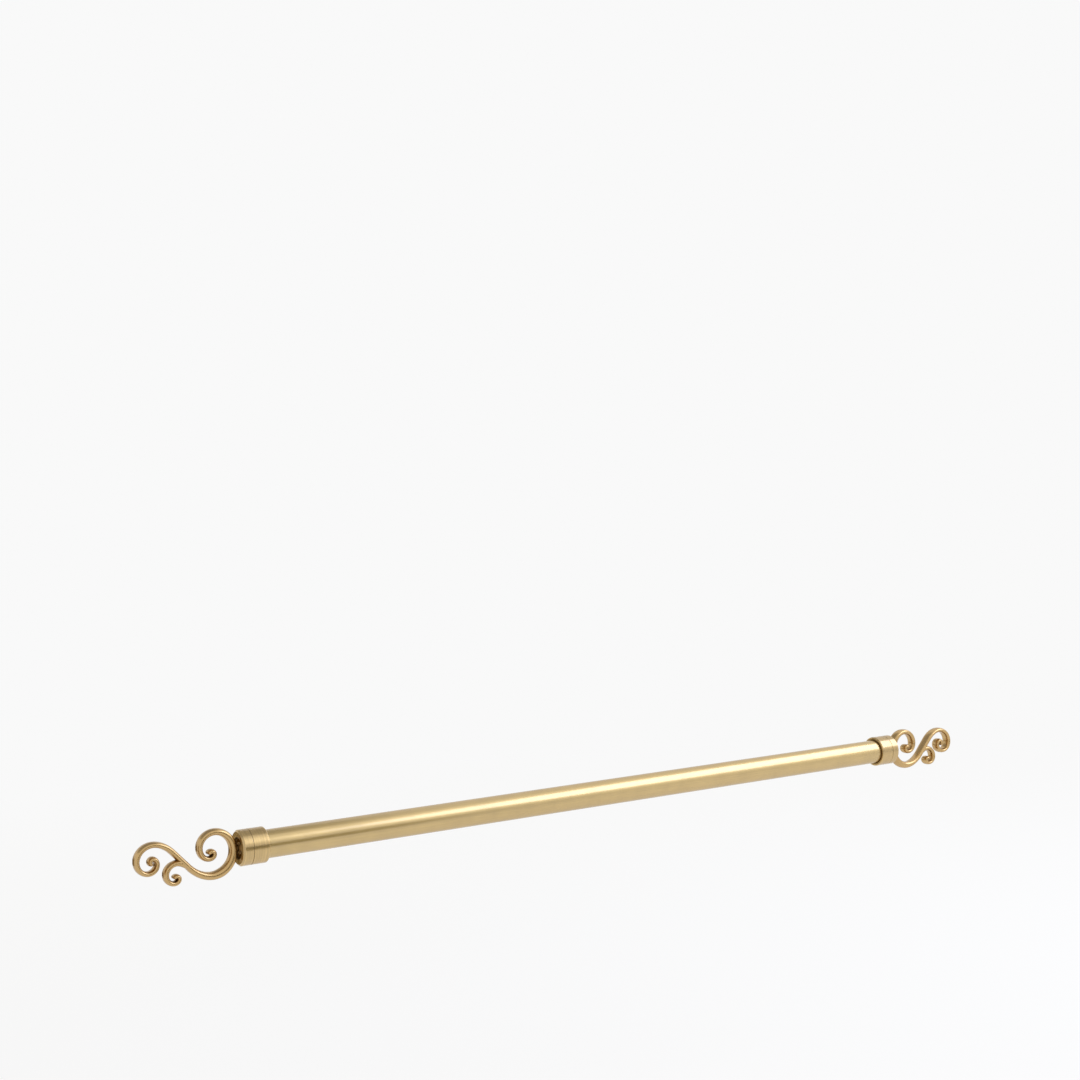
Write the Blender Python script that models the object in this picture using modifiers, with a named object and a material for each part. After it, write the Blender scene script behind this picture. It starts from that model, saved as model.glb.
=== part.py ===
"""Curtain rod with a bevelled collar and a cast scroll finial at each end.

Lengths are in metres and angles in degrees. +X runs along the rod, +Y away from the room and +Z up.
The origin is on the rod's axis at mid-length. One end is modelled with +X outwards from the outer
face of its end cap, and the other end is the same pieces turned round.
"""

import math

import bmesh
import bpy

# Rod
ROD_LENGTH = 0.7847  # between the outer faces of the two end caps
TUBE_RADIUS = 0.0127
TUBE_WALL = 0.001

# Fits
SEAT_GAP = 0.0003  # between pieces that are seated on each other
OVERRUN = 0.001  # how far a cutter passes what it cuts
EDGE_BREAK = 0.0003  # small chamfer on turned edges

# End cap and collar
COLLAR_WALL = 0.003  # of the end cap and the collar, round the tube
END_CAP_LENGTH = 0.0095
END_CAP_FLOOR = 0.006
END_CAP_BEVEL_RUN = 0.0016
END_CAP_BEVEL_RISE = 0.0016
RECESS_RADIUS = 0.0098
RECESS_DEPTH = 0.003
COLLAR_LENGTH = 0.0150
COLLAR_BEVEL_RUN = 0.0008
COLLAR_BEVEL_RISE = 0.0008

# Fixings hidden in each end
STUD_RADIUS = 0.002
STUD_CLEARANCE = 0.0005
STUD_IN_FINIAL = 0.006
STUD_IN_PLUG = 0.014
PLUG_LENGTH = 0.018
SCREW_RADIUS = 0.002
SOCKET_RADIUS = 0.0011
SOCKET_DEPTH = 0.0014

# Scroll bar: its section, from the middle of the diagonal out to each tip
BAR_WIDTH = 0.0079  # widest, at the side of the ring
BAR_DEPTH = 0.011
SECTION_POWER = 2.3  # 2 is an ellipse, and more is squarer
RING_WIDTH_SHARES = ((0.0, 0.70), (0.25, 1.0), (1.0, 0.54))
VOLUTE_WIDTH_SHARES = ((0.0, 0.70), (0.30, 0.66), (1.0, 0.54))
BRANCH_WIDTH_SHARES = ((0.0, 0.58), (0.10, 0.76), (0.30, 0.64), (0.50, 0.64), (1.0, 0.49))
BAR_DEPTH_SHARES = ((0.0, 1.0), (0.60, 1.0), (1.0, 0.91))
BRANCH_DEPTH_SHARES = ((0.0, 0.94), (0.60, 0.94), (1.0, 0.86))

# Scroll curves: each bend's radius, in shares of its largest, by the angle turned from its start
DIAGONAL_ANGLE = 47.5
DIAGONAL_LENGTH = 0.0204
RING_RADIUS = 0.0204
RING_BEND_SHARES = (
    (0, 1.97), (48, 1.0), (138, 0.954), (228, 0.755), (318, 0.578), (408, 0.322), (498, 0.125), (628, 0.125)
)
VOLUTE_RADIUS = 0.0163
VOLUTE_BEND_SHARES = (
    (0, 2.07), (48, 1.0), (138, 0.729), (228, 0.544), (318, 0.402), (408, 0.155), (525, 0.155)
)
BRANCH_RADIUS = 0.0110
BRANCH_BEND_SHARES = ((0, 1.67), (48, 1.0), (138, 0.777), (228, 0.561), (318, 0.227), (440, 0.21))
RING_SIDE_HEIGHT = -0.0005  # of the ring's side, where the neck joins it, above the rod's axis

# Neck between the ring and the end cap
RING_STAND_OFF = 0.0002  # of the ring's side from the end cap's outer face
NECK_RADIUS = 0.0034
FLANGE_RADIUS = 0.0052
FLANGE_LENGTH = 0.0012

# Smoothness
TURN_STEPS = 40
SECTION_POINTS = 12
BEND_STEP = 10.0
TIP_ANGLES = (35.0, 60.0, 80.0)
SHARP_ANGLE = 35.0

# Finishes: linear colour and roughness
FINISHES = {
    "rod_tube": ((0.60, 0.42, 0.18), 0.32),
    "finial": ((0.47, 0.30, 0.11), 0.30),
    "end_cap": ((0.56, 0.39, 0.17), 0.36),
    "collar": ((0.58, 0.41, 0.18), 0.36),
    "finial_stud": ((0.55, 0.55, 0.53), 0.35),
    "end_plug": ((0.50, 0.50, 0.49), 0.45),
    "set_screw": ((0.08, 0.08, 0.08), 0.40),
}


def clear_scene():
    for obj in list(bpy.data.objects):
        bpy.data.objects.remove(obj, do_unlink=True)


def make_collection(name):
    collection = bpy.data.collections.new(name)
    bpy.context.scene.collection.children.link(collection)
    return collection


def finish_material(kind):
    color, roughness = FINISHES[kind]
    material = bpy.data.materials.new(kind + "_finish")
    material.use_nodes = True
    shader = material.node_tree.nodes["Principled BSDF"]
    shader.inputs["Base Color"].default_value = (*color, 1.0)
    shader.inputs["Metallic"].default_value = 1.0
    shader.inputs["Roughness"].default_value = roughness
    return material


def add_object(name, mesh, collection):
    obj = bpy.data.objects.new(name, mesh)
    collection.objects.link(obj)
    return obj


def turned(name, profile, collection, closed=True):
    """A turned piece along +X, from (radius, x) points that run down the outer side from the +X end."""
    mesh = bpy.data.meshes.new(name)
    edges = [(index, index + 1) for index in range(len(profile) - 1)]
    if closed:
        edges.append((len(profile) - 1, 0))
    mesh.from_pydata([(radius, 0.0, x) for radius, x in profile], edges, [])
    obj = add_object(name, mesh, collection)
    obj.rotation_euler = (0.0, math.radians(90), 0.0)
    screw = obj.modifiers.new("Turn", "SCREW")
    screw.axis = "Z"
    screw.steps = TURN_STEPS
    screw.render_steps = TURN_STEPS
    screw.use_merge_vertices = True
    screw.merge_threshold = EDGE_BREAK / 100
    return obj


def cylinder(name, radius, length, collection, sides=TURN_STEPS):
    """A cylinder along its own Z, centred on its origin."""
    mesh = bpy.data.meshes.new(name)
    shape = bmesh.new()
    bmesh.ops.create_cone(
        shape, cap_ends=True, segments=sides, radius1=radius, radius2=radius, depth=length
    )
    shape.to_mesh(mesh)
    shape.free()
    return add_object(name, mesh, collection)


def combine(obj, tool, operation):
    boolean = obj.modifiers.new(tool.name, "BOOLEAN")
    boolean.operation = operation
    boolean.solver = "EXACT"
    boolean.object = tool
    tool.hide_render = True
    tool.display_type = "WIRE"


def finished_mesh(obj):
    """The object's mesh with its modifiers and rotation applied, smooth but for its edges."""
    bpy.context.view_layer.update()
    graph = bpy.context.evaluated_depsgraph_get()
    mesh = bpy.data.meshes.new_from_object(obj.evaluated_get(graph))
    mesh.transform(obj.matrix_world)
    mesh.shade_smooth()
    mesh.set_sharp_from_angle(angle=math.radians(SHARP_ANGLE))
    obj.hide_render = True
    obj.display_type = "WIRE"
    return mesh


def blend(share, knots):
    """The value at share on the straight lines through the knots."""
    for (low, first), (high, last) in zip(knots, knots[1:]):
        if share <= high:
            return first + (last - first) * (share - low) / (high - low)
    return knots[-1][1]


def bend_points(start, heading, sense, radius, bend_shares):
    """Points of a scroll from start, each with its heading; the bend's radius follows its shares."""
    logs = [(turned_by, math.log(share)) for turned_by, share in bend_shares]
    total = bend_shares[-1][0]
    steps = math.ceil(total / BEND_STEP)
    step = total / steps
    x, z = start
    points = [(x, z, heading)]
    for index in range(steps):
        middle = (index + 0.5) * step
        chord = 2 * radius * math.exp(blend(middle, logs)) * math.sin(math.radians(step / 2))
        direction = math.radians(heading + sense * middle)
        x += chord * math.cos(direction)
        z += chord * math.sin(direction)
        points.append((x, z, heading + sense * (index + 1) * step))
    return points


def ring_side(ring):
    """The ring's least x, and the height at which its centre line runs straight up."""
    for (_, z0, before), (_, z1, after) in zip(ring, ring[1:]):
        if after <= 90 <= before:
            return min(ring)[0], z0 + (z1 - z0) * (before - 90) / (before - after)


def scroll_paths():
    """Centre lines of the ring and volute arms and of the branch, with the ring's side at the neck."""
    slope = math.radians(DIAGONAL_ANGLE)
    end = (DIAGONAL_LENGTH * math.cos(slope), DIAGONAL_LENGTH * math.sin(slope))
    ring = bend_points((0.0, 0.0), DIAGONAL_ANGLE + 180, -1, RING_RADIUS, RING_BEND_SHARES)
    volute = bend_points(end, DIAGONAL_ANGLE, -1, VOLUTE_RADIUS, VOLUTE_BEND_SHARES)
    branch = bend_points((0.0, 0.0), DIAGONAL_ANGLE, -1, BRANCH_RADIUS, BRANCH_BEND_SHARES)
    side_x, side_z = ring_side(ring)
    shift_x = RING_STAND_OFF + BAR_WIDTH / 2 - side_x
    shift_z = RING_SIDE_HEIGHT - side_z
    return [
        [(x + shift_x, z + shift_z, heading) for x, z, heading in path]
        for path in (ring, volute, branch)
    ]


def stations(path, width_shares, depth_shares):
    """Centre, heading, width and depth along a path, closed off with a rounded tip."""
    lengths = [0.0]
    for (x0, z0, _), (x1, z1, _) in zip(path, path[1:]):
        lengths.append(lengths[-1] + math.hypot(x1 - x0, z1 - z0))
    shares = [length / lengths[-1] for length in lengths]
    found = [
        (x, z, heading, BAR_WIDTH * blend(share, width_shares), BAR_DEPTH * blend(share, depth_shares))
        for (x, z, heading), share in zip(path, shares)
    ]
    x, z, heading, tip_width, tip_depth = found[-1]
    for angle in map(math.radians, TIP_ANGLES):
        reach = tip_width / 2 * math.sin(angle)
        inset = tip_width * (1 - math.cos(angle))
        tip_x = x + reach * math.cos(math.radians(heading))
        tip_z = z + reach * math.sin(math.radians(heading))
        found.append((tip_x, tip_z, heading, tip_width - inset, tip_depth - inset))
    return found


def section(station):
    """Points round the bar at a station, in a rounded oblong across its heading."""
    x, z, heading, width, depth = station
    across_x = -math.sin(math.radians(heading))
    across_z = math.cos(math.radians(heading))
    points = []
    for index in range(SECTION_POINTS):
        angle = 2 * math.pi * (index + 0.5) / SECTION_POINTS
        side, front = (
            math.copysign(abs(value) ** (2 / SECTION_POWER), value)
            for value in (math.cos(angle), math.sin(angle))
        )
        reach = side * width / 2
        points.append((x + across_x * reach, front * depth / 2, z + across_z * reach))
    return points


def loft(name, all_stations, collection):
    """A closed skin through the sections, since the bar's width and depth taper unlike each other."""
    shape = bmesh.new()
    rings = [[shape.verts.new(point) for point in section(station)] for station in all_stations]
    for ring, following in zip(rings, rings[1:]):
        for index in range(SECTION_POINTS):
            beside = (index + 1) % SECTION_POINTS
            shape.faces.new((ring[index], ring[beside], following[beside], following[index]))
    shape.faces.new(reversed(rings[0]))
    shape.faces.new(rings[-1])
    bmesh.ops.recalc_face_normals(shape, faces=shape.faces)
    mesh = bpy.data.meshes.new(name)
    shape.to_mesh(mesh)
    shape.free()
    return add_object(name, mesh, collection)


def opposite(station):
    x, z, heading, width, depth = station
    return (x, z, heading - 180, width, depth)


def finial_mesh(tools):
    """One casting: the S-shaped bar from tip to tip, its branch scroll and the neck that seats it."""
    ring_path, volute_path, branch_path = scroll_paths()
    ring = stations(ring_path, RING_WIDTH_SHARES, BAR_DEPTH_SHARES)
    volute = stations(volute_path, VOLUTE_WIDTH_SHARES, BAR_DEPTH_SHARES)
    bar = [opposite(station) for station in reversed(ring)] + volute
    finial = loft("finial_bar", bar, tools)
    branch_stations = stations(branch_path, BRANCH_WIDTH_SHARES, BRANCH_DEPTH_SHARES)
    branch = loft("finial_branch", branch_stations, tools)
    combine(finial, branch, "UNION")
    seat = SEAT_GAP - RECESS_DEPTH
    neck_profile = [
        (0.0, RING_STAND_OFF + BAR_WIDTH / 2),
        (NECK_RADIUS, RING_STAND_OFF + BAR_WIDTH / 2),
        (NECK_RADIUS, seat + FLANGE_LENGTH),
        (FLANGE_RADIUS - EDGE_BREAK, seat + FLANGE_LENGTH),
        (FLANGE_RADIUS, seat + FLANGE_LENGTH - EDGE_BREAK),
        (FLANGE_RADIUS, seat + EDGE_BREAK),
        (FLANGE_RADIUS - EDGE_BREAK, seat),
        (0.0, seat),
    ]
    combine(finial, turned("finial_neck", neck_profile, tools, closed=False), "UNION")
    bore_length = STUD_IN_FINIAL + SEAT_GAP + OVERRUN
    bore = cylinder("finial_bore", STUD_RADIUS + SEAT_GAP, bore_length, tools)
    bore.rotation_euler = (0.0, math.radians(90), 0.0)
    bore.location = (seat - OVERRUN + bore_length / 2, 0.0, 0.0)
    combine(finial, bore, "DIFFERENCE")
    return finished_mesh(finial)


def end_cap_mesh(tools):
    """A turned cap over the tube's end, with a bevelled rim and a shallow recess for the neck."""
    bore = TUBE_RADIUS + SEAT_GAP
    outer = bore + COLLAR_WALL
    stud_hole = STUD_RADIUS + STUD_CLEARANCE
    profile = [
        (outer - END_CAP_BEVEL_RISE, 0.0),
        (outer, -END_CAP_BEVEL_RUN),
        (outer, EDGE_BREAK - END_CAP_LENGTH),
        (outer - EDGE_BREAK, -END_CAP_LENGTH),
        (bore, -END_CAP_LENGTH),
        (bore, -END_CAP_FLOOR),
        (stud_hole, -END_CAP_FLOOR),
        (stud_hole, -RECESS_DEPTH),
        (RECESS_RADIUS, -RECESS_DEPTH),
        (RECESS_RADIUS, 0.0),
    ]
    return finished_mesh(turned("end_cap_turning", profile, tools))


def collar_start():
    return -END_CAP_LENGTH - SEAT_GAP


def screw_place():
    """Middle of the collar's straight part."""
    return collar_start() - (COLLAR_LENGTH - COLLAR_BEVEL_RUN) / 2


def collar_mesh(tools):
    """A turned sleeve on the tube, with a flat bevelled end and a screw hole underneath."""
    bore = TUBE_RADIUS + SEAT_GAP
    outer = bore + COLLAR_WALL
    start = collar_start()
    end = start - COLLAR_LENGTH
    profile = [
        (outer - EDGE_BREAK, start),
        (outer, start - EDGE_BREAK),
        (outer, end + COLLAR_BEVEL_RUN),
        (outer - COLLAR_BEVEL_RISE, end),
        (bore, end),
        (bore, start),
    ]
    sleeve = turned("collar_turning", profile, tools)
    hole_length = COLLAR_WALL + 2 * OVERRUN
    hole = cylinder("collar_hole", SCREW_RADIUS + SEAT_GAP, hole_length, tools, TURN_STEPS // 2)
    hole.location = (screw_place(), 0.0, -bore - COLLAR_WALL / 2)
    combine(sleeve, hole, "DIFFERENCE")
    return finished_mesh(sleeve)


def end_plug_mesh(tools):
    """A tapped insert pressed in the tube's end."""
    outer = TUBE_RADIUS - TUBE_WALL - SEAT_GAP
    bore = STUD_RADIUS + SEAT_GAP
    start = -END_CAP_FLOOR - SEAT_GAP
    end = start - PLUG_LENGTH
    profile = [
        (outer - EDGE_BREAK, start),
        (outer, start - EDGE_BREAK),
        (outer, end + EDGE_BREAK),
        (outer - EDGE_BREAK, end),
        (bore, end),
        (bore, start),
    ]
    return finished_mesh(turned("end_plug_turning", profile, tools))


def finial_stud_mesh(tools):
    """A stud from the finial's blind hole through the cap into the plug; its fine thread is left out."""
    start = SEAT_GAP - RECESS_DEPTH + STUD_IN_FINIAL
    end = -END_CAP_FLOOR - SEAT_GAP - STUD_IN_PLUG
    profile = [
        (0.0, start),
        (STUD_RADIUS - EDGE_BREAK, start),
        (STUD_RADIUS, start - EDGE_BREAK),
        (STUD_RADIUS, end + EDGE_BREAK),
        (STUD_RADIUS - EDGE_BREAK, end),
        (0.0, end),
    ]
    return finished_mesh(turned("finial_stud_turning", profile, tools, closed=False))


def set_screw_mesh(tools):
    """A grub screw in the collar's hole, from the tube to just inside the collar's surface."""
    inner = TUBE_RADIUS + SEAT_GAP
    outer = inner + COLLAR_WALL - SEAT_GAP
    screw = cylinder("set_screw_body", SCREW_RADIUS, outer - inner, tools, TURN_STEPS // 2)
    screw.location = (screw_place(), 0.0, -(inner + outer) / 2)
    socket = cylinder("set_screw_socket", SOCKET_RADIUS, 2 * SOCKET_DEPTH, tools, 6)
    socket.location = (screw_place(), 0.0, -outer)
    combine(screw, socket, "DIFFERENCE")
    return finished_mesh(screw)


def add_tube(parts, tools):
    half = ROD_LENGTH / 2 - END_CAP_FLOOR - SEAT_GAP
    inner = TUBE_RADIUS - TUBE_WALL
    profile = [(TUBE_RADIUS, half), (TUBE_RADIUS, -half), (inner, -half), (inner, half)]
    tube = add_object("rod_tube", finished_mesh(turned("tube_turning", profile, tools)), parts)
    tube.data.materials.append(finish_material("rod_tube"))


def add_ends(parts, tools):
    meshes = {
        "finial": finial_mesh(tools),
        "end_cap": end_cap_mesh(tools),
        "collar": collar_mesh(tools),
        "finial_stud": finial_stud_mesh(tools),
        "end_plug": end_plug_mesh(tools),
        "set_screw": set_screw_mesh(tools),
    }
    for kind, mesh in meshes.items():
        mesh.materials.clear()
        mesh.materials.append(finish_material(kind))
    for side, x, turn in (("left", -ROD_LENGTH / 2, 180.0), ("right", ROD_LENGTH / 2, 0.0)):
        end = add_object(side + "_end", None, parts)
        end.location = (x, 0.0, 0.0)
        end.rotation_euler = (0.0, 0.0, math.radians(turn))
        for kind, mesh in meshes.items():
            add_object(f"{side}_{kind}", mesh, parts).parent = end


def main():
    clear_scene()
    parts = make_collection("curtain_rod")
    tools = make_collection("cutters")
    add_tube(parts, tools)
    add_ends(parts, tools)


main()
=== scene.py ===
"""Looks of the curtain rod: satin brass, finely lofted scrolls, turned collars and a pale studio.

Lengths are in metres and angles in degrees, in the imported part's frame: +X along the rod, +Y away
from the room and +Z up, with the origin on the rod's axis at mid-length. Places along the rod, the
tube's and collars' radii and their lengths come from the frame; what the frame can't tell, such as
the scrolls' curves, repeats the part's own sizes.
"""

import math

import bmesh
import bpy
from mathutils import Matrix, Vector
from mathutils.bvhtree import BVHTree


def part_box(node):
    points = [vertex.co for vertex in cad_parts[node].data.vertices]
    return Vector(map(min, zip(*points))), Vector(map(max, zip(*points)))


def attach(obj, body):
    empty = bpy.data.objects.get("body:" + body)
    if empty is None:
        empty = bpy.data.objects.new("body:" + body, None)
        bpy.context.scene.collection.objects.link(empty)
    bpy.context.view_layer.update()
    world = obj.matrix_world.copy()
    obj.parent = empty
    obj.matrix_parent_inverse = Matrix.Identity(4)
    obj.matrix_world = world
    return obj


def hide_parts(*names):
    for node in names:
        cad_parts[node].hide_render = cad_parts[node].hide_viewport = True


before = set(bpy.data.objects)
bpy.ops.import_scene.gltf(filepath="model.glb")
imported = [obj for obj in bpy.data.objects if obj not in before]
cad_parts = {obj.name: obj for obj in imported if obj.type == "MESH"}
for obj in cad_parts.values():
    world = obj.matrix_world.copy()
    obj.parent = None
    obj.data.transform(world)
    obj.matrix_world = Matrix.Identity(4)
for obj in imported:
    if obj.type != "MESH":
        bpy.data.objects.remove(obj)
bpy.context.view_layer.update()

ENDS = (("left", -1), ("right", 1))

# Seats, edges and holes, as in the part
SEAT_GAP = 0.0003
TUBE_WALL = 0.001
END_CAP_FLOOR = 0.006
END_CAP_BEVEL_RUN = 0.0016
END_CAP_BEVEL_RISE = 0.0016
RECESS_RADIUS = 0.0098
RECESS_DEPTH = 0.003
COLLAR_BEVEL_RUN = 0.0008
COLLAR_BEVEL_RISE = 0.0008
STUD_RADIUS = 0.002
STUD_CLEARANCE = 0.0005
STUD_IN_FINIAL = 0.006
SCREW_RADIUS = 0.002
OVERRUN = 0.001

# Scroll bar, as in the part
BAR_WIDTH = 0.0079
BAR_DEPTH = 0.011
SECTION_POWER = 2.3
RING_WIDTH_SHARES = ((0.0, 0.70), (0.25, 1.0), (1.0, 0.54))
VOLUTE_WIDTH_SHARES = ((0.0, 0.70), (0.30, 0.66), (1.0, 0.54))
BRANCH_WIDTH_SHARES = ((0.0, 0.58), (0.10, 0.76), (0.30, 0.64), (0.50, 0.64), (1.0, 0.49))
BAR_DEPTH_SHARES = ((0.0, 1.0), (0.60, 1.0), (1.0, 0.91))
BRANCH_DEPTH_SHARES = ((0.0, 0.94), (0.60, 0.94), (1.0, 0.86))
DIAGONAL_ANGLE = 47.5
DIAGONAL_LENGTH = 0.0204
RING_RADIUS = 0.0204
RING_BEND_SHARES = (
    (0, 1.97), (48, 1.0), (138, 0.954), (228, 0.755), (318, 0.578),
    (408, 0.322), (498, 0.125), (628, 0.125),
)
VOLUTE_RADIUS = 0.0163
VOLUTE_BEND_SHARES = (
    (0, 2.07), (48, 1.0), (138, 0.729), (228, 0.544), (318, 0.402), (408, 0.155), (525, 0.155),
)
BRANCH_RADIUS = 0.0110
BRANCH_BEND_SHARES = ((0, 1.67), (48, 1.0), (138, 0.777), (228, 0.561), (318, 0.227), (440, 0.21))
RING_SIDE_HEIGHT = -0.0005
RING_STAND_OFF = 0.0002
NECK_RADIUS = 0.0034
FLANGE_RADIUS = 0.0052
FLANGE_LENGTH = 0.0012

# Smoothness of the visible pieces
TURN_STEPS = 160
HOLE_STEPS = 48
SECTION_POINTS = 36
BEND_STEP = 4.0
TIP_ANGLES = (15.0, 30.0, 45.0, 58.0, 69.0, 78.0, 84.0)
CORNER_RADIUS = 0.00022
CORNER_STEPS = 4
SHARP_ANGLE = 50.0

# How far a surface looks round itself for shelter, which sets the patina where polish doesn't reach
# and the painted shade where other metal closes it in
SHELTER_REACH = 0.007
SHELTER_RAYS = 40
SHELTER_LIFT = 0.00005
SHELTER_BLURS = 3

# The part of its range that Blender's noise keeps to, and what it swings
NOISE_RANGE = (0.3, 0.7)
CLOUD_SCALE = 55.0
CLOUD_DETAIL = 3.0
CLOUD_ROUGHNESS = 0.5
CLOUD_SWING = 0.35
STROKE_DETAIL = 6.0
STROKE_ROUGHNESS = 0.62
TONE_RANGE = (-1.0, 1.0)
TONE_SHARES = (0.86, 1.13)
ROUGHNESS_SWING = (0.06, -0.05)
GRAIN_STRENGTH = 0.35

# Polish worn bright on corners with a painted highlight, and brown patina with painted shade where
# other metal closes a surface in
WORN_AND_HIGHLIGHT_RANGE = (0.2, 1.0)
WORN_AND_HIGHLIGHT_SHARE = 0.55
WORN_AND_HIGHLIGHT_COLOR_SHARE = 1.30
# Dark brown of the patina, which also serves as painted shade in hollows
PATINA_AND_SHADE_COLOR = (0.12, 0.05, 0.010)
PATINA_AND_SHADE_CLOUD_SWING = 0.07
PATINA_AND_SHADE_ROUGHNESS = 0.14

# Grazing reflections and lacquer
EDGE_TINT = (0.58, 0.46, 0.30)
COAT_ROUGHNESS = 0.18

# Brass finishes; grain is strokes to the metre along the rod or bar and across it
BRASS_LOOKS = {
    "tube_brass": {
        "color": (0.57, 0.40, 0.145), "grain": (9.0, 1500.0, 1500.0), "grain_depth": 0.000004,
        "contrast": 0.4, "roughness": 0.36, "coat_ior": 1.85, "anisotropy": 0.25,
        "anisotropy_turn": 0.0,
    },
    "collar_brass": {
        "color": (0.56, 0.385, 0.145), "grain": (900.0, 25.0, 25.0), "grain_depth": 0.00005,
        "contrast": 1.0, "roughness": 0.35, "coat_ior": 1.75, "anisotropy": 0.8,
        # The patina range also places the painted shade in hollows; worn corners also get a painted
        # highlight
        "anisotropy_turn": 0.25, "patina_and_shade_range": (0.10, 0.42), "worn_and_highlight": "corner",
    },
    "finial_brass": {
        "color": (0.55, 0.355, 0.13), "grain": (60.0, 1500.0, 1500.0), "grain_depth": 0.000003,
        "contrast": 0.3, "roughness": 0.30, "coat_ior": 1.55, "patina_and_shade_range": (0.22, 0.62),
        "along": "flow",
    },
}

# Steel fixings
ZINC_COLOR = (0.52, 0.52, 0.50)
ZINC_ROUGHNESS = 0.38
BLACK_COLOR = (0.08, 0.08, 0.08)
BLACK_ROUGHNESS = 0.42
STEEL_GRAIN = (3000.0, 200.0, 200.0)
STEEL_GRAIN_DETAIL = 4.0
STEEL_GRAIN_ROUGHNESS = 0.5
STEEL_GRAIN_STRENGTH = 0.4
STEEL_GRAIN_DEPTH = 0.00004
STEEL_CLOUD_SCALE = 900.0
STEEL_TONE_SHARES = (0.85, 1.12)
STEEL_ROUGHNESS_SWING = (-0.05, 0.07)

# Floor and backdrop
FLOOR_DROP = 0.32
FLOOR_SIZE = 40.0
FLOOR_SQUARES = 8
FLOOR_FADE = (0.8, 2.6)
BACKGROUND = (0.947, 0.947, 0.947)
FLOOR_COLOR = (0.972, 0.955, 0.91)
SHADOW_SHARE = 0.30
FLOOR_GLOW = 1.085  # of the backdrop near the rod, so that the floor under it looks as pale
SKY_STRENGTH = 0.66

# Softbox
KEY_PLACE = (1.75, -1.05, 1.5)
KEY_TARGET = (0.1, 0.0, 0.0)
KEY_SIZE = (2.8, 1.6)
KEY_RADIANCE = 3.0
KEY_COLOR = (0.70, 0.77, 1.0)

# Cards that only the metal reflects: name, place, size, the point that each faces, and colour
CARDS = (
    ("dark_card", (-0.1, -1.9, 0.02), (1.9, 0.44), (0.0, 0.0, 0.0), (0.03, 0.03, 0.03)),
    ("dark_corner", (-0.80, 1.10, -0.14), (0.9, 0.36), (0.0, 0.0, 0.0), (0.24, 0.18, 0.11)),
    ("camera_shade", (0.10, -1.20, -0.20), (0.5, 0.30), (-0.45, 0.0, 0.0), (0.05, 0.04, 0.03)),
    ("grey_ceiling", (-0.9, 1.3, 1.6), (2.8, 3.2), (-0.9, 1.3, 0.0), (0.40, 0.40, 0.40)),
)

# Camera, fitted to the photo
CAMERA_PLACE = (-0.92334, -1.35228, 0.26560)
CAMERA_TARGET = (-0.06382, 0.0, 0.25657)
CAMERA_ROLL = -2.64
CAMERA_LENS = 54.33
SENSOR_WIDTH = 36.0


def link(obj):
    bpy.context.scene.collection.objects.link(obj)
    return obj


def add_camera():
    data = bpy.data.cameras.new("camera")
    data.sensor_width = SENSOR_WIDTH
    data.lens = CAMERA_LENS
    camera = link(bpy.data.objects.new("camera", data))
    camera.location = CAMERA_PLACE
    view = Vector(CAMERA_TARGET) - Vector(CAMERA_PLACE)
    level = view.to_track_quat("-Z", "Y").to_matrix()
    camera.rotation_euler = (level @ Matrix.Rotation(math.radians(CAMERA_ROLL), 3, "Z")).to_euler()
    bpy.context.scene.camera = camera


class Nodes:
    """A material's or the world's node tree, built a node at a time."""

    def __init__(self, owner):
        owner.use_nodes = True
        self.tree = owner.node_tree
        self.tree.nodes.clear()

    def add(self, kind, inputs=(), **settings):
        """Adds a node whose inputs are plain values or the outputs of other nodes."""
        node = self.tree.nodes.new(kind)
        for key, value in settings.items():
            setattr(node, key, value)
        for key, value in dict(inputs).items():
            if isinstance(value, bpy.types.NodeSocket):
                self.tree.links.new(value, node.inputs[key])
            else:
                node.inputs[key].default_value = value
        return node

    def noise(self, vector, scale, detail, roughness):
        inputs = {"Vector": vector, "Scale": scale, "Detail": detail, "Roughness": roughness}
        return self.add("ShaderNodeTexNoise", inputs).outputs["Fac"]

    def span(self, value, low, high, to_low=0.0, to_high=1.0):
        """Where the value stands between low and high, as a place between to_low and to_high."""
        inputs = {0: value, 1: low, 2: high, 3: to_low, 4: to_high}
        return self.add("ShaderNodeMapRange", inputs, clamp=True).outputs[0]

    def swing(self, noise, low, high):
        """The noise spread over low to high."""
        return self.span(noise, *NOISE_RANGE, low, high)

    def math(self, operation, first, second):
        return self.add("ShaderNodeMath", {0: first, 1: second}, operation=operation).outputs[0]

    def mix(self, share, first, second):
        """Two colours mixed; the node has them in sockets 6 and 7 and the result in output 2."""
        inputs = {0: share, 6: first, 7: second}
        return self.add("ShaderNodeMix", inputs, data_type="RGBA").outputs[2]

    def mix_shaders(self, share, first, second):
        return self.add("ShaderNodeMixShader", {0: share, 1: first, 2: second}).outputs[0]

    def glow(self, color, strength):
        inputs = {"Color": rgba(color), "Strength": strength}
        return self.add("ShaderNodeEmission", inputs).outputs[0]

    def scaled(self, vector, scale):
        inputs = {"Vector": vector, "Scale": scale}
        return self.add("ShaderNodeMapping", inputs, vector_type="POINT").outputs["Vector"]

    def attribute(self, name, output="Fac"):
        return self.add("ShaderNodeAttribute", attribute_name=name).outputs[output]

    def place(self):
        return self.add("ShaderNodeTexCoord").outputs["Object"]

    def finish(self, shader):
        self.add("ShaderNodeOutputMaterial", {"Surface": shader})


def rgba(color):
    return (*color, 1.0)


def tinted(color, factor):
    return tuple(min(channel * factor, 1.0) for channel in color)


def brushed(nodes, look, strokes, clouds):
    """The bare metal's colour and roughness, varied by its brushing and by clouds."""
    brushing = nodes.swing(strokes, -look["contrast"], look["contrast"])
    tone = nodes.math("ADD", brushing, nodes.swing(clouds, -CLOUD_SWING, CLOUD_SWING))
    dark, light = (rgba(tinted(look["color"], share)) for share in TONE_SHARES)
    base = nodes.mix(nodes.span(tone, *TONE_RANGE), dark, light)
    rough = nodes.span(tone, *TONE_RANGE, *(look["roughness"] + swing for swing in ROUGHNESS_SWING))
    return base, rough


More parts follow.
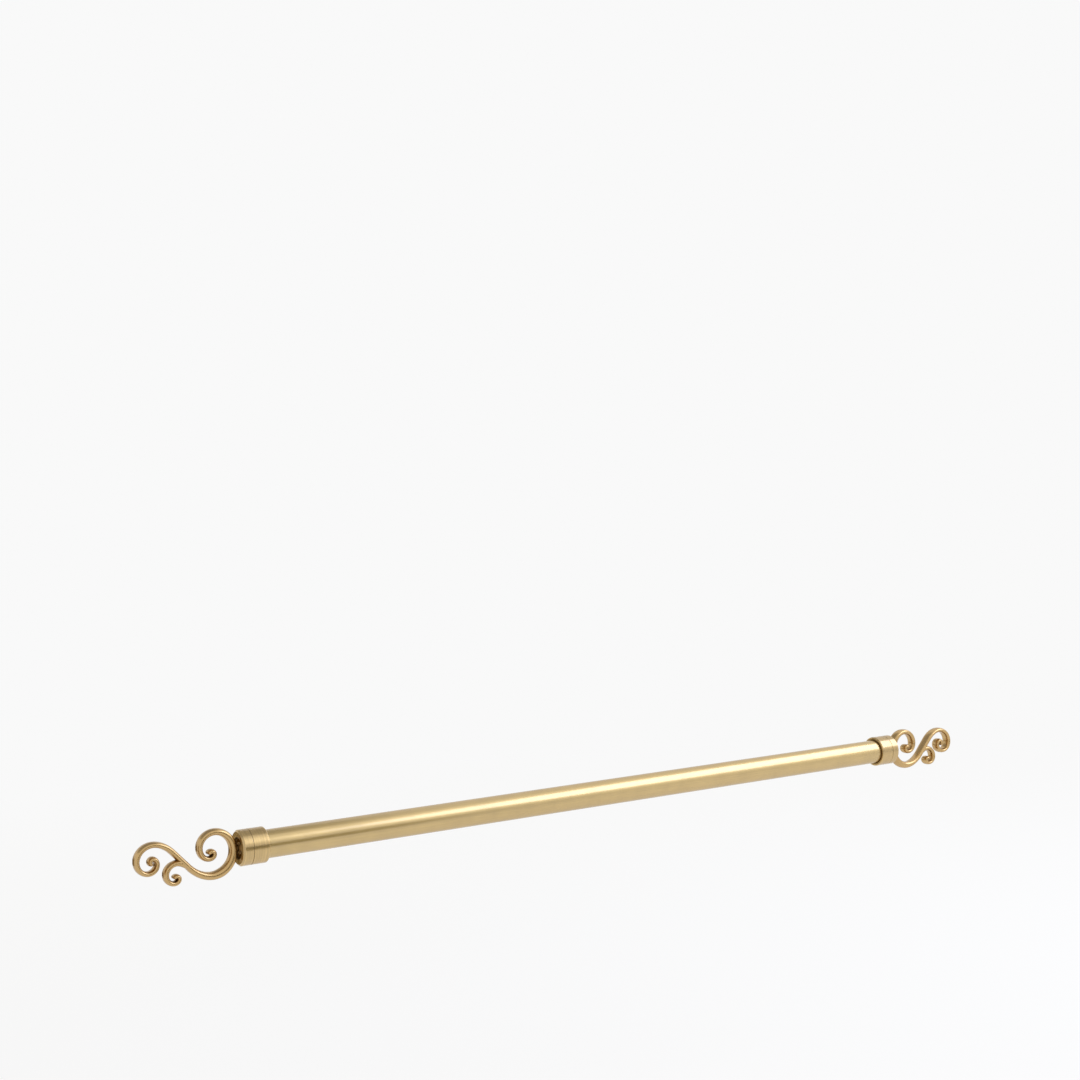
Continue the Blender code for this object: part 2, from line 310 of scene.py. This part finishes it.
def patina_and_shade(nodes, look, clouds):
    """How far brown patina and painted shade cover each point, from 0 to 1."""
    swing = nodes.swing(clouds, -PATINA_AND_SHADE_CLOUD_SWING, PATINA_AND_SHADE_CLOUD_SWING)
    return nodes.span(nodes.math("ADD", nodes.attribute("shelter"), swing), *look["patina_and_shade_range"])


def aged(nodes, look, clouds, base, rough):
    """Adds bright worn corners with a painted highlight and dark hollows with painted shade, and keeps
    the lacquer off the patina and painted shade.
    """
    lacquer = 1.0
    # Lighter corner arcs: worn polish and a painted highlight
    if "worn_and_highlight" in look:
        worn_and_highlight = nodes.span(nodes.attribute(look["worn_and_highlight"]), *WORN_AND_HIGHLIGHT_RANGE, 0.0, WORN_AND_HIGHLIGHT_SHARE)
        base = nodes.mix(worn_and_highlight, base, rgba(tinted(look["color"], WORN_AND_HIGHLIGHT_COLOR_SHARE)))
    if "patina_and_shade_range" in look:
        # Patina and painted shade: darker where other metal closes the surface in, with no lacquer
        # there
        stain_and_shade = patina_and_shade(nodes, look, clouds)
        base = nodes.mix(stain_and_shade, base, rgba(PATINA_AND_SHADE_COLOR))
        rough = nodes.math("ADD", rough, nodes.math("MULTIPLY", stain_and_shade, PATINA_AND_SHADE_ROUGHNESS))
        lacquer = nodes.math("SUBTRACT", 1.0, stain_and_shade)
    return base, rough, lacquer


def brass(name):
    """Satin brass: fine brushing, cloudy tone, lacquer, patina and painted shade in hollows, and
    bright corners with painted highlight.
    """
    look = BRASS_LOOKS[name]
    material = bpy.data.materials.new(name)
    nodes = Nodes(material)
    along = nodes.attribute(look["along"], "Vector") if "along" in look else nodes.place()
    strokes = nodes.noise(nodes.scaled(along, look["grain"]), 1.0, STROKE_DETAIL, STROKE_ROUGHNESS)
    clouds = nodes.noise(nodes.place(), CLOUD_SCALE, CLOUD_DETAIL, CLOUD_ROUGHNESS)
    base, rough = brushed(nodes, look, strokes, clouds)
    base, rough, lacquer = aged(nodes, look, clouds, base, rough)
    grain = {"Height": strokes, "Strength": GRAIN_STRENGTH, "Distance": look["grain_depth"]}
    inputs = {
        "Base Color": base,
        "Metallic": 1.0,
        "Roughness": rough,
        "Specular Tint": rgba(EDGE_TINT),
        "Coat Weight": lacquer,
        "Coat IOR": look["coat_ior"],
        "Coat Roughness": COAT_ROUGHNESS,
        "Normal": nodes.add("ShaderNodeBump", grain).outputs["Normal"],
    }
    if "anisotropy" in look:
        tangent = nodes.add("ShaderNodeTangent", direction_type="RADIAL", axis="X")
        inputs["Tangent"] = tangent.outputs["Tangent"]
        inputs["Anisotropic"] = look["anisotropy"]
        inputs["Anisotropic Rotation"] = look["anisotropy_turn"]
    nodes.finish(nodes.add("ShaderNodeBsdfPrincipled", inputs).outputs[0])
    return material


def steel(name, color, roughness):
    """Plated or blackened steel with fine turning marks and a mottled sheen."""
    material = bpy.data.materials.new(name)
    nodes = Nodes(material)
    along = nodes.scaled(nodes.place(), STEEL_GRAIN)
    marks = nodes.noise(along, 1.0, STEEL_GRAIN_DETAIL, STEEL_GRAIN_ROUGHNESS)
    clouds = nodes.noise(nodes.place(), STEEL_CLOUD_SCALE, CLOUD_DETAIL, CLOUD_ROUGHNESS)
    dark, light = (rgba(tinted(color, share)) for share in STEEL_TONE_SHARES)
    grain = {"Height": marks, "Strength": STEEL_GRAIN_STRENGTH, "Distance": STEEL_GRAIN_DEPTH}
    inputs = {
        "Base Color": nodes.mix(nodes.swing(clouds, 0.0, 1.0), dark, light),
        "Metallic": 1.0,
        "Roughness": nodes.swing(marks, *(roughness + swing for swing in STEEL_ROUGHNESS_SWING)),
        "Normal": nodes.add("ShaderNodeBump", grain).outputs["Normal"],
    }
    nodes.finish(nodes.add("ShaderNodeBsdfPrincipled", inputs).outputs[0])
    return material


def blend(share, knots):
    """The value at share on the straight lines through the knots."""
    for (low, first), (high, last) in zip(knots, knots[1:]):
        if share <= high:
            return first + (last - first) * (share - low) / (high - low)
    return knots[-1][1]


def bend_points(start, heading, sense, radius, bend_shares):
    """Points of a scroll from start with their headings; the bend's radius follows its shares."""
    logs = [(turned_by, math.log(share)) for turned_by, share in bend_shares]
    total = bend_shares[-1][0]
    steps = math.ceil(total / BEND_STEP)
    step = total / steps
    x, z = start
    points = [(x, z, heading)]
    for index in range(steps):
        middle = (index + 0.5) * step
        chord = 2 * radius * math.exp(blend(middle, logs)) * math.sin(math.radians(step / 2))
        direction = math.radians(heading + sense * middle)
        x += chord * math.cos(direction)
        z += chord * math.sin(direction)
        points.append((x, z, heading + sense * (index + 1) * step))
    return points


def ring_side(ring):
    """The ring's least x, and the height at which its centre line runs straight up."""
    for (_, z0, before), (_, z1, after) in zip(ring, ring[1:]):
        if after <= 90 <= before:
            height = z0 + (z1 - z0) * (before - 90) / (before - after)
            return min(x for x, _, _ in ring), height


def scroll_paths():
    """Centre lines of the ring and volute arms and of the branch, with the ring's side at the neck."""
    slope = math.radians(DIAGONAL_ANGLE)
    end = (DIAGONAL_LENGTH * math.cos(slope), DIAGONAL_LENGTH * math.sin(slope))
    ring = bend_points((0.0, 0.0), DIAGONAL_ANGLE + 180, -1, RING_RADIUS, RING_BEND_SHARES)
    volute = bend_points(end, DIAGONAL_ANGLE, -1, VOLUTE_RADIUS, VOLUTE_BEND_SHARES)
    branch = bend_points((0.0, 0.0), DIAGONAL_ANGLE, -1, BRANCH_RADIUS, BRANCH_BEND_SHARES)
    side_x, side_z = ring_side(ring)
    shift_x = RING_STAND_OFF + BAR_WIDTH / 2 - side_x
    shift_z = RING_SIDE_HEIGHT - side_z
    return [
        [(x + shift_x, z + shift_z, heading) for x, z, heading in path]
        for path in (ring, volute, branch)
    ]


def stations(path, width_shares, depth_shares):
    """Centre, heading, width, depth and length run along a path, closed off with a rounded tip."""
    lengths = [0.0]
    for (x0, z0, _), (x1, z1, _) in zip(path, path[1:]):
        lengths.append(lengths[-1] + math.hypot(x1 - x0, z1 - z0))
    found = []
    for (x, z, heading), length in zip(path, lengths):
        share = length / lengths[-1]
        width = BAR_WIDTH * blend(share, width_shares)
        found.append((x, z, heading, width, BAR_DEPTH * blend(share, depth_shares), length))
    return found + tip(found[-1])


def tip(station):
    """Stations past a bar's last one, which narrow in a round to close it off."""
    x, z, heading, width, depth, length = station
    found = []
    for angle in map(math.radians, TIP_ANGLES):
        reach = width / 2 * math.sin(angle)
        inset = width * (1 - math.cos(angle))
        tip_x = x + reach * math.cos(math.radians(heading))
        tip_z = z + reach * math.sin(math.radians(heading))
        found.append((tip_x, tip_z, heading, width - inset, depth - inset, length + reach))
    return found


def opposite(station):
    x, z, heading, width, depth, length = station
    return (x, z, heading - 180, width, depth, -length)


def section(station):
    """Points round the bar at a station, in a rounded oblong, each with its flow along the bar."""
    x, z, heading, width, depth, length = station
    across_x = -math.sin(math.radians(heading))
    across_z = math.cos(math.radians(heading))
    points = []
    for index in range(SECTION_POINTS):
        angle = 2 * math.pi * (index + 0.5) / SECTION_POINTS
        side, front = (
            math.copysign(abs(value) ** (2 / SECTION_POWER), value)
            for value in (math.cos(angle), math.sin(angle))
        )
        reach = side * width / 2
        place = (x + across_x * reach, front * depth / 2, z + across_z * reach)
        points.append((place, (length, reach, front * depth / 2)))
    return points


def as_object(name, shape):
    mesh = bpy.data.meshes.new(name)
    shape.to_mesh(mesh)
    shape.free()
    return link(bpy.data.objects.new(name, mesh))


def skin(shape, rings, closed=False):
    """Faces from each ring of points to the next; a ring on the axis is a single point."""
    pairs = list(zip(rings, rings[1:]))
    if closed:
        pairs.append((rings[-1], rings[0]))
    for ring, following in pairs:
        steps = max(len(ring), len(following))
        for index in range(steps):
            beside = (index + 1) % steps
            corners = (
                ring[index % len(ring)], ring[beside % len(ring)],
                following[beside % len(following)], following[index % len(following)],
            )
            shape.faces.new(list(dict.fromkeys(corners)))


def loft(name, all_stations):
    """A closed skin through the sections, with each point's flow along and across the bar kept."""
    shape = bmesh.new()
    flow = shape.verts.layers.float_vector.new("flow")
    rings = []
    for station in all_stations:
        ring = []
        for place, run in section(station):
            vert = shape.verts.new(place)
            vert[flow] = run
            ring.append(vert)
        rings.append(ring)
    skin(shape, rings)
    shape.faces.new(reversed(rings[0]))
    shape.faces.new(rings[-1])
    bmesh.ops.recalc_face_normals(shape, faces=shape.faces)
    return as_object(name, shape)


def rounded(profile):
    """The profile with small arcs for corners and a plain point on each side of every arc.

    Each point comes with 1 if it lies on an arc and 0 if it doesn't. Points on the axis stay.
    """
    found = []
    for index, corner in enumerate(profile):
        here = Vector(corner)
        if here.x == 0:
            found.append((here, 0.0))
            continue
        before = (Vector(profile[index - 1]) - here).normalized() * CORNER_RADIUS
        after = (Vector(profile[(index + 1) % len(profile)]) - here).normalized() * CORNER_RADIUS
        start = here + before
        end = here + after
        found.append((start + before, 0.0))
        for step in range(CORNER_STEPS + 1):
            share = step / CORNER_STEPS
            point = start.lerp(here, share).lerp(here.lerp(end, share), share)
            found.append((point, 1.0))
        found.append((end + after, 0.0))
    return found


def turned(name, profile, steps=TURN_STEPS, closed=True, soften=True):
    """A turned piece along X from (radius, x) points, with its corners rounded and marked."""
    points = rounded(profile) if soften else [(Vector(point), 0.0) for point in profile]
    shape = bmesh.new()
    corner = shape.verts.layers.float.new("corner")
    rings = []
    for point, mark in points:
        around = 1 if point.x == 0 else steps
        ring = []
        for index in range(around):
            angle = 2 * math.pi * index / steps
            vert = shape.verts.new((point.y, point.x * math.cos(angle), point.x * math.sin(angle)))
            vert[corner] = mark
            ring.append(vert)
        rings.append(ring)
    skin(shape, rings, closed)
    bmesh.ops.recalc_face_normals(shape, faces=shape.faces)
    return as_object(name, shape)


def cutter(name, radius, first, last, steps=TURN_STEPS):
    """A plain cylinder along X between two places, to cut a hole with."""
    profile = [(0.0, first), (radius, first), (radius, last), (0.0, last)]
    return turned(name, profile, steps, closed=False, soften=False)


def combine(obj, tool, operation):
    """Joins or cuts obj with tool, for good, and removes the tool."""
    boolean = obj.modifiers.new(tool.name, "BOOLEAN")
    boolean.operation = operation
    boolean.solver = "EXACT"
    boolean.object = tool
    apply_modifiers(obj)
    bpy.data.objects.remove(tool)


def apply_modifiers(obj):
    bpy.context.view_layer.update()
    graph = bpy.context.evaluated_depsgraph_get()
    mesh = bpy.data.meshes.new_from_object(obj.evaluated_get(graph))
    obj.modifiers.clear()
    obj.data = mesh


def shade(obj):
    obj.data.shade_smooth()
    obj.data.set_sharp_from_angle(angle=math.radians(SHARP_ANGLE))


def hemisphere_rays():
    """Unit vectors all over the +Z side, denser towards the pole."""
    golden = math.pi * (3 - math.sqrt(5))
    rays = []
    for index in range(SHELTER_RAYS):
        height = math.sqrt(1 - (index + 0.5) / SHELTER_RAYS)
        spread = math.sqrt(1 - height * height)
        turn = index * golden
        rays.append(Vector((spread * math.cos(turn), spread * math.sin(turn), height)))
    return rays


def blurred(mesh, values):
    """Each point's value averaged with those of the points that an edge joins it to."""
    sums = list(values)
    counts = [1] * len(values)
    for edge in mesh.edges:
        first, second = edge.vertices
        sums[first] += values[second]
        sums[second] += values[first]
        counts[first] += 1
        counts[second] += 1
    return [total / count for total, count in zip(sums, counts)]


def mark_shelter(obj, neighbours):
    """Stores at each point how much of its surroundings other metal closes off."""
    shape = bmesh.new()
    for other in [obj, *neighbours]:
        shape.from_mesh(other.data)
    tree = BVHTree.FromBMesh(shape)
    shape.free()
    rays = hemisphere_rays()
    values = []
    for vertex in obj.data.vertices:
        turn = vertex.normal.to_track_quat("Z", "X")
        start = vertex.co + vertex.normal * SHELTER_LIFT
        hit = 0.0
        for ray in rays:
            distance = tree.ray_cast(start, turn @ ray, SHELTER_REACH)[3]
            if distance is not None:
                hit += 1 - distance / SHELTER_REACH
        values.append(hit / len(rays))
    for _ in range(SHELTER_BLURS):
        values = blurred(obj.data, values)
    # The brass materials make patina and painted shade from this value
    attribute = obj.data.attributes.new("shelter", "FLOAT", "POINT")
    attribute.data.foreach_set("value", values)


def finial_casting():
    """The whole scroll casting in the end's own frame, +X outwards from the end cap's face."""
    ring_path, volute_path, branch_path = scroll_paths()
    ring = stations(ring_path, RING_WIDTH_SHARES, BAR_DEPTH_SHARES)
    volute = stations(volute_path, VOLUTE_WIDTH_SHARES, BAR_DEPTH_SHARES)
    casting = loft("finial_bar", [opposite(station) for station in reversed(ring)] + volute)
    branch = loft("finial_branch", stations(branch_path, BRANCH_WIDTH_SHARES, BRANCH_DEPTH_SHARES))
    combine(casting, branch, "UNION")
    seat = SEAT_GAP - RECESS_DEPTH
    neck = [
        (0.0, RING_STAND_OFF + BAR_WIDTH / 2),
        (NECK_RADIUS, RING_STAND_OFF + BAR_WIDTH / 2),
        (NECK_RADIUS, seat + FLANGE_LENGTH),
        (FLANGE_RADIUS, seat + FLANGE_LENGTH),
        (FLANGE_RADIUS, seat),
        (0.0, seat),
    ]
    combine(casting, turned("finial_neck", neck, closed=False), "UNION")
    stud_hole = STUD_RADIUS + SEAT_GAP
    bore = cutter("finial_bore", stud_hole, seat + STUD_IN_FINIAL, seat - OVERRUN)
    combine(casting, bore, "DIFFERENCE")
    return casting


def seat_at_end(obj, side, sense):
    """Turns a piece made in the end's own frame to that end and moves it to the cap's outer face."""
    low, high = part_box(side + "_end_cap")
    face = high.x if sense > 0 else low.x
    turn = Matrix.Rotation(0.0 if sense > 0 else math.pi, 4, "Z")
    obj.data.transform(Matrix.Translation((face, 0.0, 0.0)) @ turn)


def dress(obj, material, slot, *nodes):
    obj.data.materials.clear()
    obj.data.materials.append(material)
    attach(obj, "root")
    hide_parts(*nodes)


def add_tube():
    low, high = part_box("rod_tube")
    outer = high.z
    inner = outer - TUBE_WALL
    tube = turned("brushed_tube", [(outer, high.x), (outer, low.x), (inner, low.x), (inner, high.x)])
    shade(tube)
    dress(tube, brass("tube_brass"), "tube_brass", "rod_tube")
    return tube


def end_cap(side, length):
    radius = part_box(side + "_end_cap")[1].z
    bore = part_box("rod_tube")[1].z + SEAT_GAP
    stud_hole = STUD_RADIUS + STUD_CLEARANCE
    profile = [
        (radius - END_CAP_BEVEL_RISE, 0.0),
        (radius, -END_CAP_BEVEL_RUN),
        (radius, -length),
        (bore, -length),
        (bore, -END_CAP_FLOOR),
        (stud_hole, -END_CAP_FLOOR),
        (stud_hole, -RECESS_DEPTH),
        (RECESS_RADIUS, -RECESS_DEPTH),
        (RECESS_RADIUS, 0.0),
    ]
    return turned(side + "_turned_cap", profile)


def collar(side, start, length):
    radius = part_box(side + "_collar")[1].z
    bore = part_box("rod_tube")[1].z + SEAT_GAP
    profile = [
        (radius, start),
        (radius, start - length + COLLAR_BEVEL_RUN),
        (radius - COLLAR_BEVEL_RISE, start - length),
        (bore, start - length),
        (bore, start),
    ]
    sleeve = turned(side + "_turned_collar", profile)
    screw_hole = SCREW_RADIUS + SEAT_GAP
    hole = cutter("screw_hole", screw_hole, bore - OVERRUN, radius + OVERRUN, HOLE_STEPS)
    middle = start - (length - COLLAR_BEVEL_RUN) / 2
    downwards = Matrix.Rotation(math.pi / 2, 4, "Y")
    hole.data.transform(Matrix.Translation((middle, 0.0, 0.0)) @ downwards)
    combine(sleeve, hole, "DIFFERENCE")
    return sleeve


def add_ends(tube):
    collar_finish = brass("collar_brass")
    finial_finish = brass("finial_brass")
    casting = finial_casting()
    for side, sense in ENDS:
        cap_low, cap_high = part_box(side + "_end_cap")
        collar_low, collar_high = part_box(side + "_collar")
        cap_length = cap_high.x - cap_low.x
        cap = end_cap(side, cap_length)
        sleeve = collar(side, -cap_length - SEAT_GAP, collar_high.x - collar_low.x)
        finial = link(bpy.data.objects.new(side + "_scroll_casting", casting.data.copy()))
        for piece in (cap, sleeve, finial):
            seat_at_end(piece, side, sense)
            shade(piece)
        mark_shelter(finial, [cap])
        mark_shelter(cap, [finial, sleeve])
        mark_shelter(sleeve, [cap, tube])
        dress(cap, collar_finish, "collar_brass", side + "_end_cap")
        dress(sleeve, collar_finish, "collar_brass", side + "_collar")
        dress(finial, finial_finish, "finial_brass", side + "_finial")
    bpy.data.objects.remove(casting)


def finish_fixings():
    zinc = steel("zinc_plate", ZINC_COLOR, ZINC_ROUGHNESS)
    black = steel("black_oxide", BLACK_COLOR, BLACK_ROUGHNESS)
    for side, _ in ENDS:
        for kind, material in (("finial_stud", zinc), ("end_plug", zinc), ("set_screw", black)):
            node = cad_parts[f"{side}_{kind}"]
            node.data.materials.clear()
            node.data.materials.append(material)


def camera_or_reflection(nodes):
    """1 for what the camera, metal or glass sees, and 0 for light on rough surfaces."""
    path = nodes.add("ShaderNodeLightPath")
    seen = nodes.math("MAXIMUM", path.outputs["Is Camera Ray"], path.outputs["Is Glossy Ray"])
    return nodes.math("MAXIMUM", seen, path.outputs["Is Transmission Ray"])


def sheet(name, squares, size):
    shape = bmesh.new()
    bmesh.ops.create_grid(shape, x_segments=squares, y_segments=squares, size=size / 2)
    return as_object(name, shape)


def pale_floor():
    """Matt paint near the rod that fades to the backdrop's own glow; from below it is clear."""
    material = bpy.data.materials.new("pale_floor")
    nodes = Nodes(material)
    place = nodes.place()
    distance = nodes.add("ShaderNodeVectorMath", {0: place}, operation="LENGTH").outputs["Value"]
    near = nodes.span(distance, *FLOOR_FADE, SHADOW_SHARE, 0.0)
    plain = nodes.math("MULTIPLY", camera_or_reflection(nodes), nodes.math("SUBTRACT", 1.0, near))
    paint = nodes.add("ShaderNodeBsdfDiffuse", {"Color": rgba(FLOOR_COLOR)}).outputs[0]
    glow = nodes.glow(BACKGROUND, nodes.span(distance, *FLOOR_FADE, FLOOR_GLOW, 1.0))
    lit = nodes.mix_shaders(plain, paint, glow)
    clear = nodes.add("ShaderNodeBsdfTransparent").outputs[0]
    below = nodes.add("ShaderNodeNewGeometry").outputs["Backfacing"]
    nodes.finish(nodes.mix_shaders(below, lit, clear))
    return material


def add_floor():
    """A wide pale floor that keeps the soft shadow near the rod and fades to the background."""
    floor = sheet("floor", FLOOR_SQUARES, FLOOR_SIZE)
    floor.location = (0.0, 0.0, -FLOOR_DROP)
    floor.data.materials.append(pale_floor())


def add_world():
    world = bpy.data.worlds.new("studio")
    bpy.context.scene.world = world
    nodes = Nodes(world)
    fill, pale = (
        nodes.add("ShaderNodeBackground", {"Color": rgba(BACKGROUND), "Strength": strength}).outputs[0]
        for strength in (SKY_STRENGTH, 1.0)
    )
    surface = nodes.mix_shaders(camera_or_reflection(nodes), fill, pale)
    nodes.add("ShaderNodeOutputWorld", {"Surface": surface})


def add_softbox():
    """A soft oval lamp; its power follows from its size and how bright its face is."""
    data = bpy.data.lights.new("key_softbox", "AREA")
    data.shape = "ELLIPSE"
    data.size, data.size_y = KEY_SIZE
    area = math.pi / 4 * KEY_SIZE[0] * KEY_SIZE[1]
    data.energy = KEY_RADIANCE * math.pi * area
    data.color = KEY_COLOR
    lamp = link(bpy.data.objects.new("key_softbox", data))
    lamp.location = KEY_PLACE
    view = Vector(KEY_TARGET) - Vector(KEY_PLACE)
    lamp.rotation_euler = view.to_track_quat("-Z", "Y").to_euler()
    lamp.visible_camera = False


def add_card(name, place, size, facing, color):
    """A dull card that the camera can't see and only the metal reflects."""
    card = sheet(name, 1, 1.0)
    card.scale = (*size, 1.0)
    card.location = place
    card.rotation_euler = (Vector(facing) - Vector(place)).to_track_quat("Z", "Y").to_euler()
    material = bpy.data.materials.new(name)
    nodes = Nodes(material)
    nodes.finish(nodes.glow(color, 1.0))
    card.data.materials.append(material)
    card.visible_camera = False
    card.visible_diffuse = False
    card.visible_shadow = False


def add_studio():
    add_world()
    add_floor()
    add_softbox()
    for card in CARDS:
        add_card(*card)


def main():
    bpy.context.scene.view_settings.view_transform = "Standard"
    add_camera()
    add_studio()
    add_ends(add_tube())
    finish_fixings()


main()
